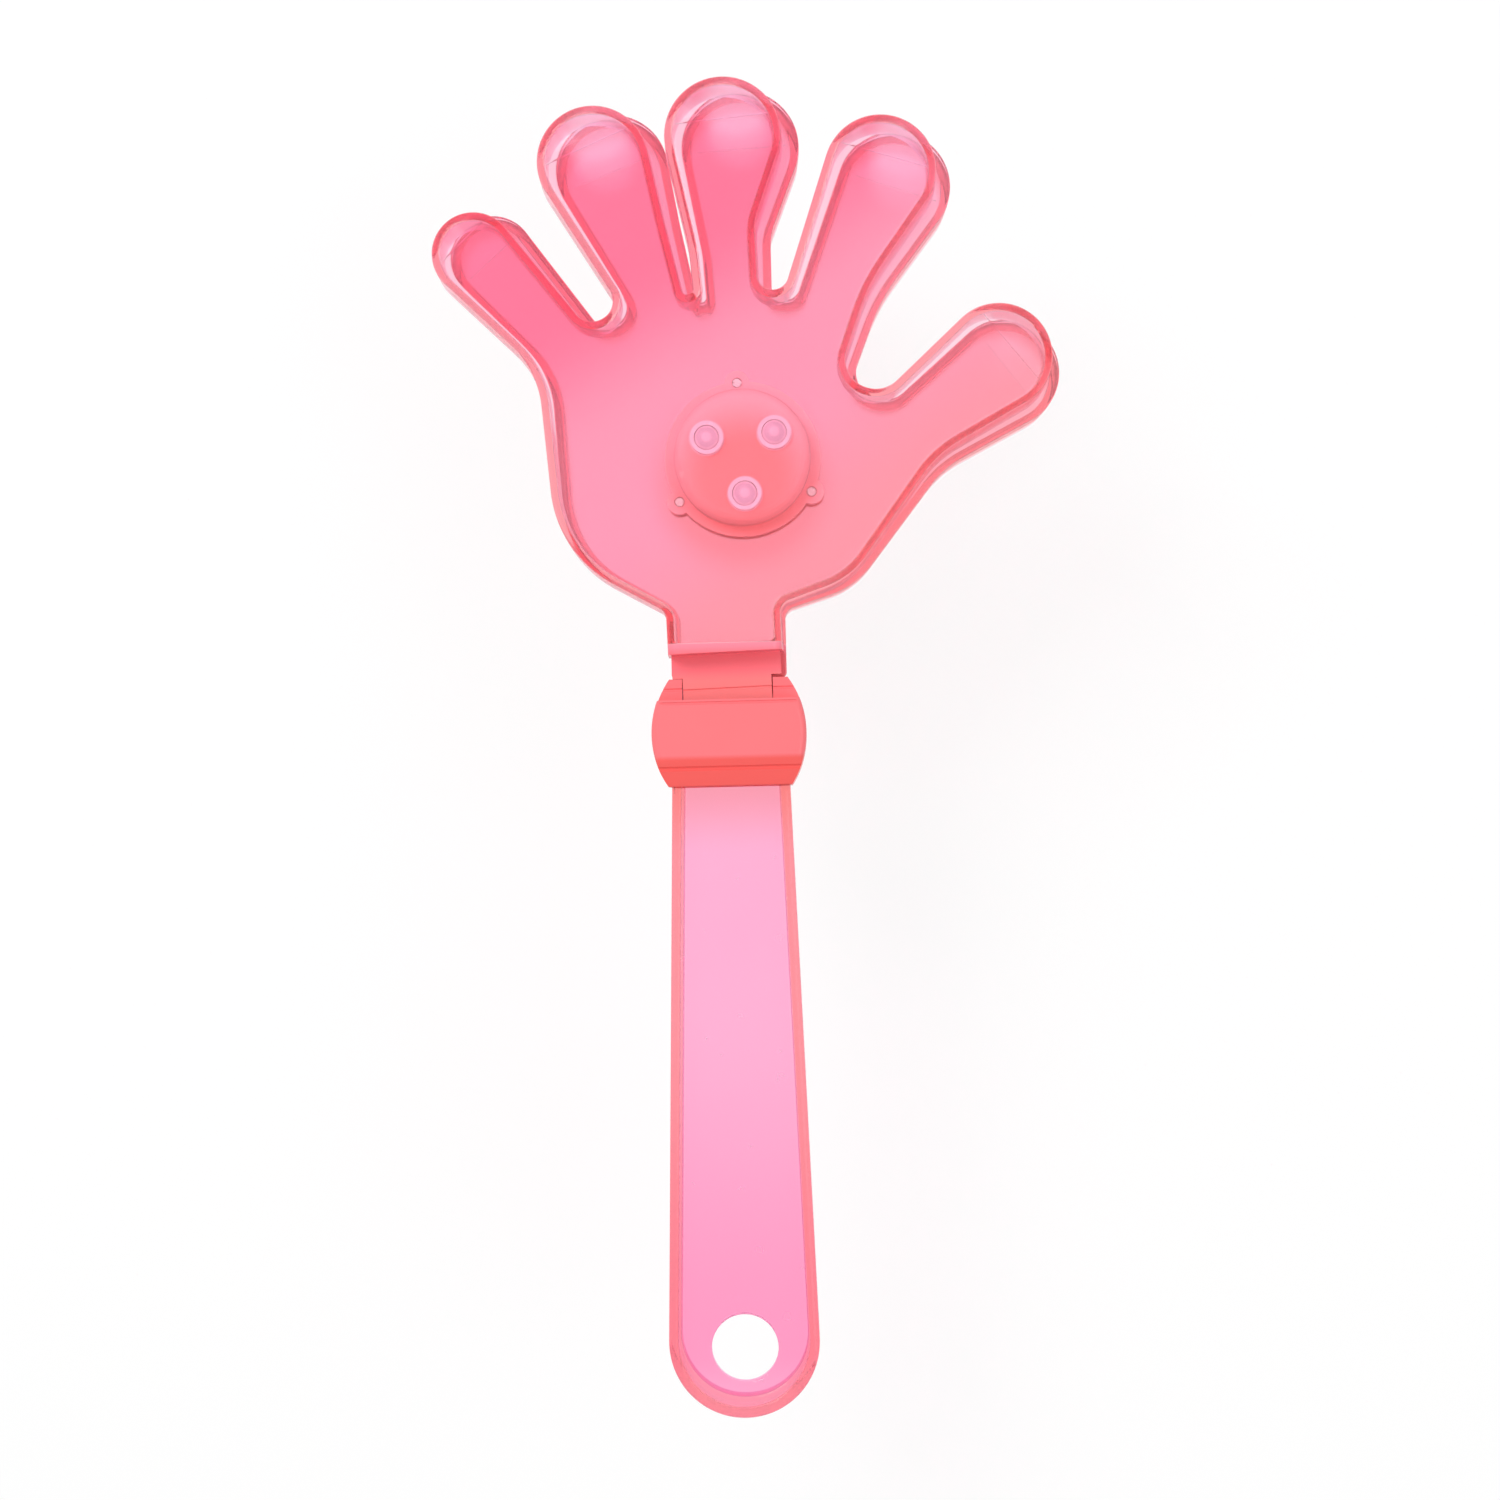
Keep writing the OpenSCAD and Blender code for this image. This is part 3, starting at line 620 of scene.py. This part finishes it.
pattern_hand = loose_hand()
lean = shift(0, HINGE_Y, 0) @ Matrix.Rotation(FRONT_LEAN, 4, "Z") @ shift(0, -HINGE_Y, 0)
front_shell = turned(pattern_hand, "front_hand_shell", lean)
back_shell = turned(pattern_hand, "back_hand_shell", TO_BACK)
bpy.data.objects.remove(pattern_hand)
dish = lathe([(FINGER_HOLE_R, HAND_FACE + OVER), (FINGER_HOLE_R, FINGER_DISH),
              (FINGER_HOLE_R + FINGER_DISH + OVER, -OVER)])
fuse(back_shell, "DIFFERENCE", moved(dish, round_light(90, BUTTON_RING)))
finish_piece(front_shell, "front_clap", "hand_pink", hand_plastic, "front_hand")
finish_piece(back_shell, "back_clap", "hand_pink", hand_plastic, "back_hand")


def centre_plate():
    """Flat hand with softened edges, its tang, and the holes for the light, its screws and the pegs."""
    corner = 1.0
    soft = 0.35
    support = 0.1
    top = PLATE_TOP - TOUCH
    sides = [(-soft - support, top)]
    sides += [(-a, top - b) for a, b in rounding(soft, 90, 60, 30, 0)]
    sides += upside_down(sides)
    obj = as_object(skin(levels(hand_chain(PLATE_NECK_Y, corner), sides)), "centre_hand_plate")
    tang = block((-TANG_HALF, TANG_END_Y, PLATE_BACK + TOUCH), (TANG_HALF, PLATE_NECK_Y + OVER, top))
    fuse(obj, "UNION", tang)
    holes = [drill(DRUM_HOLE_R, round_light(0, 0, MID_Z))]
    holes += [drill(SCREW_HOLE_R, round_light(angle, SCREW_RING, MID_Z)) for angle in SCREW_ANGLES]
    holes += [drill(PEG_R + TOUCH, shift(x, y, MID_Z)) for x, y in PEGS_AT]
    fuse(obj, "DIFFERENCE", *holes)
    return obj


finish_piece(centre_plate(), "grip", "hand_pink", hand_plastic, "centre_hand")


def grip_bar():
    """Handle: rims round a thin web with a round hanging hole, and the hub that goes into the cuff."""
    edge = 1.2
    soft = 0.5
    root = 0.9
    lip = 0.4
    edge_support = 0.05
    root_support = 0.1
    # The pocket lies nearer the cuff than the bar does, which thickens the rim at the handle's end
    end_shift = 0.5
    half = GRIP_DEPTH / 2
    top = MID_Z + half
    web_half = GRIP_WEB / 2
    web_top = MID_Z + web_half
    bar = [(0, GRIP_END_Y + GRIP_END_R, GRIP_END_R),
           (GRIP_TOP_HALF - GRIP_CORNER, CUFF_LOW_Y, GRIP_CORNER),
           (GRIP_CORNER - GRIP_TOP_HALF, CUFF_LOW_Y, GRIP_CORNER)]
    outside = [(-edge - edge_support, top)]
    outside += [(-a, top - b) for a, b in rounding(edge, 90, 75, 60, 45, 30, 15, 0)]
    outside += upside_down(outside)
    obj = as_object(skin(levels(bar, outside)), "grip_bar")

    pocket = [(0, GRIP_END_Y + GRIP_END_R + end_shift, GRIP_END_R - GRIP_RIM),
              (GRIP_TOP_HALF - GRIP_RIM - GRIP_CORNER, POCKET_TOP_Y - GRIP_CORNER, GRIP_CORNER),
              (GRIP_RIM + GRIP_CORNER - GRIP_TOP_HALF, POCKET_TOP_Y - GRIP_CORNER, GRIP_CORNER)]
    # What cuts the pocket flares out above the rims
    inside = [(soft + flare, top + flare) for flare in (0.6, 0.02)]
    inside += [(a, top - b) for a, b in rounding(soft, 60, 30, 0)]
    inside += [(-a, web_top + b) for a, b in rounding(root, 0, 30, 60, 90)]
    inside.append((-root - root_support, web_top))
    front_pocket = skin(levels(pocket, inside))
    back_pocket = moved(front_pocket.copy(), TO_BACK)
    hole = [(HANG_R + lip + 0.5, 3), (HANG_R + lip, web_half)]
    hole += [(HANG_R + a, web_half - b) for a, b in rounding(lip, 60, 30, 0)]
    hole += [(r, -z) for r, z in reversed(hole)]

    hub = [block((-HUB_HALF, HUB_BLOCK_Y, MID_Z - half), (HUB_HALF, CHEEK_LOW_Y + 0.5, MID_Z + half)),
           block((-HUB_HALF, CHEEK_LOW_Y, PLATE_BACK - HUB_WEB_T), (HUB_HALF, HUB_TOP_Y, PLATE_BACK))]
    # The cheeks end under the cuff's front band, and go on lower below its ledge
    under_band = 1.2
    under_ledge = 1.4
    cheek_steps = ((CUFF_FRONT_Y - under_band, CHEEK_DEPTH / 2),
                   (HUB_TOP_Y, CUFF_LEDGE - under_ledge - MID_Z))
    for x in (-HUB_HALF, HUB_HALF - CHEEK_T):
        for top_y, tall in cheek_steps:
            hub.append(block((x, CHEEK_LOW_Y, MID_Z - tall), (x + CHEEK_T, top_y, MID_Z + tall)))
    hub += [moved(lathe([(PEG_R, PLATE_T), (PEG_R, -0.5)]), shift(x, y, PLATE_BACK)) for x, y in PEGS_AT]
    fuse(obj, "UNION", *hub)
    fuse(obj, "DIFFERENCE", front_pocket, back_pocket, moved(lathe(hole, 96), shift(0, HANG_Y, MID_Z)))
    fuse(obj, "DIFFERENCE", *[rod(PIN_R + TOUCH, HUB_HALF + OVER, HINGE_Y, z) for z in HINGE_Z])
    return obj


finish_piece(grip_bar(), "grip", "handle_pink", handle_plastic, "handle")


def cuff_half(name, window_right):
    """Half of the cuff: round sides, a flat front band, a chamfered lower lip with a groove, and a
    window for a tongue, whose right side follows how much that tongue leans."""
    corner = 1.6
    run_past = 1.5
    side_x = CUFF_HALF - CUFF_SIDE_R

    def end_corner(y):
        """Corner circle a hair past the side's circle, so that a line touches both."""
        across = math.sqrt((CUFF_SIDE_R - corner) ** 2 - (y - CUFF_MID_Y) ** 2) + 0.05
        return (side_x + across, y, corner)

    right = [end_corner(CUFF_LOW_Y - run_past), (side_x, CUFF_MID_Y, CUFF_SIDE_R),
             end_corner(CUFF_HIGH_Y + run_past)]
    plan = right + [(-x, y, r) for x, y, r in reversed(right)]
    support = 0.05
    rings = [(-CUFF_EDGE - support, THICKNESS)]
    rings += [(-a, THICKNESS - b) for a, b in rounding(CUFF_EDGE, 90, 75, 60, 45, 30, 15, 0)]
    rings.append((0.0, MID_Z + TOUCH))
    obj = as_object(skin(levels(plan, rings)), name)

    soft = 0.5
    slope = 1.5
    low = MID_Z - OVER
    side = [(CUFF_LOW_Y + soft, low, soft), (CUFF_HIGH_Y - soft, low, soft),
            (CUFF_HIGH_Y - soft, THICKNESS - slope - soft, soft), (CUFF_FRONT_Y, THICKNESS - soft, soft),
            (CUFF_BAND_Y, THICKNESS - soft, soft), (CUFF_LOW_Y + soft, THICKNESS - CUFF_LIP - soft, soft)]
    outline = belt(side, step=15.0)
    wedge = skin([raised(outline, WIDE), raised(outline, -WIDE)])
    upright = Matrix(((0, 0, 1, 0), (1, 0, 0, 0), (0, 1, 0, 0), (0, 0, 0, 1)))
    fuse(obj, "INTERSECT", moved(wedge, upright))

    # Rooms inside, which lap over each other, then what is open to the outside, then fine lines
    inner = HUB_HALF + 0.1
    hub_half = 7.6
    foot = 1.5
    band_t = 1.0
    ledge_t = 1.2
    lap_y = CUFF_FRONT_Y - 2
    mouth_half = GRIP_TOP_HALF + TOUCH
    mouth_depth = GRIP_DEPTH / 2 + TOUCH
    room = THICKNESS - CUFF_WALL
    lid = THICKNESS + OVER
    end = CUFF_HIGH_Y + OVER
    band_line_y = CUFF_FRONT_Y - 0.7
    groove_z = THICKNESS - CUFF_LIP * (CUFF_BAND_Y - CUFF_GROOVE_Y) / (CUFF_BAND_Y - CUFF_LOW_Y)
    cuts = [
        block((-inner, CUFF_LOW_Y + foot, MID_Z - hub_half), (inner, CUFF_BAND_Y, MID_Z + hub_half)),
        block((-inner, CUFF_BAND_Y - 0.5, CUFF_WALL), (inner, CUFF_FRONT_Y - band_t, room)),
        block((-inner, lap_y, CUFF_WALL), (inner, CUFF_FLANGE_Y, CUFF_LEDGE - ledge_t)),
        block((-WINDOW_HALF, lap_y, low), (window_right, CUFF_FLANGE_Y, room)),
        block((-mouth_half, CUFF_LOW_Y - OVER, MID_Z - mouth_depth),
              (mouth_half, CUFF_LOW_Y + 2, MID_Z + mouth_depth)),
        block((-WINDOW_HALF, CUFF_FRONT_Y, low), (window_right, end, lid)),
        block((-WIDE, CUFF_FRONT_Y, CUFF_LEDGE), (WIDE, end, lid)),
        rod(GROOVE_R, WIDE, CUFF_GROOVE_Y, groove_z),
        rod(LINE_R, WIDE, band_line_y, THICKNESS),
        rod(LINE_R, WIDE, LEDGE_LINE_Y, CUFF_LEDGE),
    ]
    fuse(obj, "DIFFERENCE", *cuts)
    return obj


cuff_front = cuff_half("cuff_front_shell", WINDOW_HALF - WINDOW_LEAN)
cuff_back = as_object(moved(taken(cuff_half("cuff_back_half", WINDOW_HALF)), TO_BACK), "cuff_back_shell")
# A rib from inside the front wall holds the tang of the plate down
rib = block((-RIB_HALF, RIB_Y[0], PLATE_TOP), (RIB_HALF, RIB_Y[1], RIB_TOP))
fuse(cuff_front, "UNION", rib)
finish_piece(cuff_front, "grip", "cuff_coral", cuff_plastic, "cuff_front")
finish_piece(cuff_back, "grip", "cuff_coral", cuff_plastic, "cuff_back")


# What repeats round the light

def ring_tree():
    """Copies a piece to places on a ring about the middle of the light."""
    tree = bpy.data.node_groups.new("pieces_round_the_light", "GeometryNodeTree")
    tree.is_modifier = True
    for name, kind in (("Geometry", "Geometry"), ("Piece", "Object"), ("Count", "Int"), ("Ring", "Float"),
                       ("First angle", "Float"), ("Step angle", "Float"), ("Height", "Float"),
                       ("Finish", "Material")):
        tree.interface.new_socket(name, in_out="INPUT", socket_type="NodeSocket" + kind)
    tree.interface.new_socket("Geometry", in_out="OUTPUT", socket_type="NodeSocketGeometry")
    given = add(tree, "NodeGroupInput").outputs
    index = add(tree, "GeometryNodeInputIndex").outputs["Index"]
    angle = add(tree, "ShaderNodeMath", {0: index, 1: given["Step angle"], 2: given["First angle"]},
                operation="MULTIPLY_ADD").outputs[0]
    spoke = add(tree, "ShaderNodeCombineXYZ", {"X": given["Ring"], "Z": given["Height"]})
    place = add(tree, "ShaderNodeVectorRotate", {"Vector": spoke.outputs[0], "Angle": angle},
                rotation_type="Z_AXIS")
    points = add(tree, "GeometryNodePoints", {"Count": given["Count"], "Position": place.outputs[0]})
    piece = add(tree, "GeometryNodeObjectInfo", {"Object": given["Piece"]})
    facing = add(tree, "ShaderNodeCombineXYZ", {"Z": angle})
    copies = add(tree, "GeometryNodeInstanceOnPoints", {
        "Points": points.outputs[0], "Instance": piece.outputs["Geometry"], "Rotation": facing.outputs[0]})
    placed = add(tree, "GeometryNodeTransform", {
        "Geometry": copies.outputs[0], "Translation": Vector((*LIGHT_AT, 0)) * MM,
        "Rotation": (0, 0, LIGHT_TURN)})
    solid = add(tree, "GeometryNodeRealizeInstances", {"Geometry": placed.outputs[0]})
    dressed = add(tree, "GeometryNodeSetMaterial", {
        "Geometry": solid.outputs[0], "Material": given["Finish"]})
    add(tree, "NodeGroupOutput", {"Geometry": dressed.outputs[0]})
    return tree


light_ring = ring_tree()


def round_the_light(name, bm, finish, ring, first, height, count=1):
    """One mesh with copies of a solid on a ring about the light, a third of a turn apart."""
    source = as_object(bm, name + "_source")
    source.data.shade_smooth()
    obj = as_object(bmesh.new(), name)
    repeat = obj.modifiers.new("ring", "NODES")
    repeat.node_group = light_ring
    values = {"Piece": source, "Count": count, "Ring": ring * MM, "First angle": math.radians(first),
              "Step angle": math.radians(THIRD), "Height": height * MM, "Finish": finish}
    for item in light_ring.interface.items_tree:
        if item.in_out == "INPUT" and item.name in values:
            repeat[item.identifier] = values[item.name]
    settle(obj)
    bpy.data.objects.remove(source)
    return obj


def lamp_lens():
    """Round lamp body with a flange at its foot and a dome on top."""
    soft = 0.05
    flange_r = LAMP_R + LAMP_FLANGE
    turns = [math.radians(a) for a in range(85, -1, -10)]
    profile = [(LAMP_R * math.cos(t), LAMP_DOME_Z + LAMP_DOME * math.sin(t)) for t in turns]
    profile += [(LAMP_R, LAMP_DOME_Z), (LAMP_R, LAMP_FLANGE_T + soft), (flange_r - soft, LAMP_FLANGE_T),
                (flange_r, LAMP_FLANGE_T - soft), (flange_r, soft), (flange_r - soft, 0.0)]
    return lathe(profile, 56)


for node, angle in LAMP_ANGLES.items():
    lens = round_the_light(node + "_lens", lamp_lens(), lamp_epoxy, LAMP_RING, angle, BOARD_TOP)
    finish_piece(lens, "grip", "lamp_clear", lamp_epoxy, node)


def screw(head_r, head_h, shank_r, length):
    """Pan-head screw, head down, with a cross cut into its head."""
    tip_r = shank_r * 0.85
    tip_h = 0.25
    profile = [(tip_r, length), (shank_r, length - tip_h), (shank_r, 0.0), (head_r, 0.0),
               (head_r, -head_h * 0.5)]
    for a in (25, 50, 75):
        t = math.radians(a)
        profile.append((head_r * (0.35 + 0.65 * math.cos(t)), -head_h * (0.5 + 0.5 * math.sin(t))))
    obj = as_object(lathe(profile, 40), "screw")
    arm = head_r * 0.62
    slot = head_r * 0.16
    for x, y in ((arm, slot), (slot, arm)):
        fuse(obj, "DIFFERENCE", block((-x, -y, -head_h - OVER), (x, y, -head_h * 0.45)))
    return taken(obj)


module_screw = screw(SCREW_HEAD_R, SCREW_HEAD_H, shank_r=SCREW_HOLE_R - TOUCH, length=5.4 - TOUCH)
module_set = round_the_light("module_screw_set", module_screw, bright_steel, SCREW_RING, SCREW_ANGLES[0],
                             PLATE_BACK - SCREW_HEAD_H, count=3)
finish_piece(module_set, "grip", "steel", bright_steel, "module_screws")
door_screw = screw(SCREW_HEAD_R, head_h=0.7, shank_r=0.8, length=5.8)
door_set = round_the_light("door_screw_set", door_screw, zinc_steel, BOSS_RING, SCREW_ANGLES[1],
                           DOOR_BACK, count=2)
finish_piece(door_set, "grip", "steel", zinc_steel, "door_screws")

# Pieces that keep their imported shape
PLAIN_NODES = {
    "lamp_cap": cap_plastic, "battery_housing": module_plastic, "battery_door": module_plastic,
    "circuit_board": board_green, "flasher_chip": black_resin, "switch_body": black_resin,
    "switch_plunger": white_acetal, "push_button": white_acetal, "cell_left": cell_nickel,
    "cell_right": cell_nickel, "cell_bottom": cell_nickel, "contact_springs": spring_brass,
    "link_strips": spring_brass, "front_hinge_pin": zinc_steel, "back_hinge_pin": zinc_steel,
}
for node, finish in PLAIN_NODES.items():
    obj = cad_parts[node]
    obj.data.materials.clear()
    obj.data.materials.append(finish)


# Floor, light and camera, in metres
# The floor lies low enough for the back hand to swing open above it
FLOOR_HALF = 3.0
FLOOR_Z = -0.06
PAPER_GLOW = 0.8
SKY_LIGHT = 0.6


def white_floor():
    """Matt white paper: faint shadows to the camera, plain white in reflections and through plastic."""
    finish, tree = new_finish("paper_white_matt")
    ray = add(tree, "ShaderNodeLightPath").outputs
    paper = add(tree, "ShaderNodeBsdfDiffuse", {"Color": srgb("F7F7F7")})
    glow = add(tree, "ShaderNodeEmission", {"Color": (1, 1, 1, 1), "Strength": 1.0})
    through = add(tree, "ShaderNodeMath", {0: ray["Is Glossy Ray"], 1: ray["Is Transmission Ray"]},
                  operation="MAXIMUM")
    seen = add(tree, "ShaderNodeMath", {0: ray["Is Camera Ray"], 1: PAPER_GLOW, 2: through.outputs[0]},
               operation="MULTIPLY_ADD", use_clamp=True)
    both = add(tree, "ShaderNodeMixShader", {0: seen.outputs[0], 1: paper.outputs[0], 2: glow.outputs[0]})
    add(tree, "ShaderNodeOutputMaterial", {"Surface": both.outputs[0]})
    return finish


corners = [(-FLOOR_HALF, -FLOOR_HALF), (FLOOR_HALF, -FLOOR_HALF), (FLOOR_HALF, FLOOR_HALF),
           (-FLOOR_HALF, FLOOR_HALF)]
floor_mesh = bpy.data.meshes.new("floor")
floor_mesh.from_pydata(raised(corners, FLOOR_Z), [], [(0, 1, 2, 3)])
floor = bpy.data.objects.new("floor", floor_mesh)
floor_mesh.materials.append(white_floor())
bpy.context.scene.collection.objects.link(floor)

# White all round to the camera, in reflections and through plastic, and dimmer as a light
world = bpy.data.worlds.new("studio")
bpy.context.scene.world = world
world.use_nodes = True
world.node_tree.nodes.clear()
ray = add(world.node_tree, "ShaderNodeLightPath").outputs
seen = ray["Is Camera Ray"]
for kind in ("Is Glossy Ray", "Is Transmission Ray"):
    seen = add(world.node_tree, "ShaderNodeMath", {0: seen, 1: ray[kind]}, operation="MAXIMUM").outputs[0]
level = add(world.node_tree, "ShaderNodeMapRange", {"Value": seen, "To Min": SKY_LIGHT, "To Max": 1.0})
sky = add(world.node_tree, "ShaderNodeBackground", {"Color": (1, 1, 1, 1), "Strength": level.outputs[0]})
add(world.node_tree, "ShaderNodeOutputWorld", {"Surface": sky.outputs[0]})


def soft_box(name, place, aim, size, power):
    """Square soft light that faces a point."""
    data = bpy.data.lights.new(name, "AREA")
    data.shape = "SQUARE"
    data.size = size
    data.energy = power
    obj = bpy.data.objects.new(name, data)
    bpy.context.scene.collection.objects.link(obj)
    obj.location = place
    obj.rotation_euler = (Vector(aim) - Vector(place)).to_track_quat("-Z", "Y").to_euler()


palm = (0.0, 0.0, 0.02)
soft_box("key", (-0.5, 0.45, 0.9), palm, size=0.5, power=6.5)
soft_box("fill", (0.6, -0.2, 0.8), palm, size=0.6, power=2.6)

# Camera: the photograph's middle, its width at the clapper and how near it stood
IMAGE_WIDTH = 318.1 * MM
AIM = Vector((4.0, -61.1, MID_Z)) * MM
CAMERA_FAR = 0.45
CAMERA_TILT = math.radians(1.8)
CAMERA_SIDE = math.radians(1.5)
CAMERA_ROLL = math.radians(1.38)
back = Vector((math.sin(CAMERA_SIDE), -math.sin(CAMERA_TILT), 1)).normalized()
up = Vector((math.sin(CAMERA_ROLL), math.cos(CAMERA_ROLL), 0))
right = up.cross(back).normalized()
optics = bpy.data.cameras.new("camera")
optics.sensor_fit = "HORIZONTAL"
optics.sensor_width = 36.0
optics.lens = optics.sensor_width * CAMERA_FAR / IMAGE_WIDTH
camera = bpy.data.objects.new("camera", optics)
turn = Matrix((right, back.cross(right), back)).transposed().to_4x4()
camera.matrix_world = Matrix.Translation(AIM + back * CAMERA_FAR) @ turn
bpy.context.scene.collection.objects.link(camera)
bpy.context.scene.camera = camera
bpy.context.scene.view_settings.view_transform = "Standard"
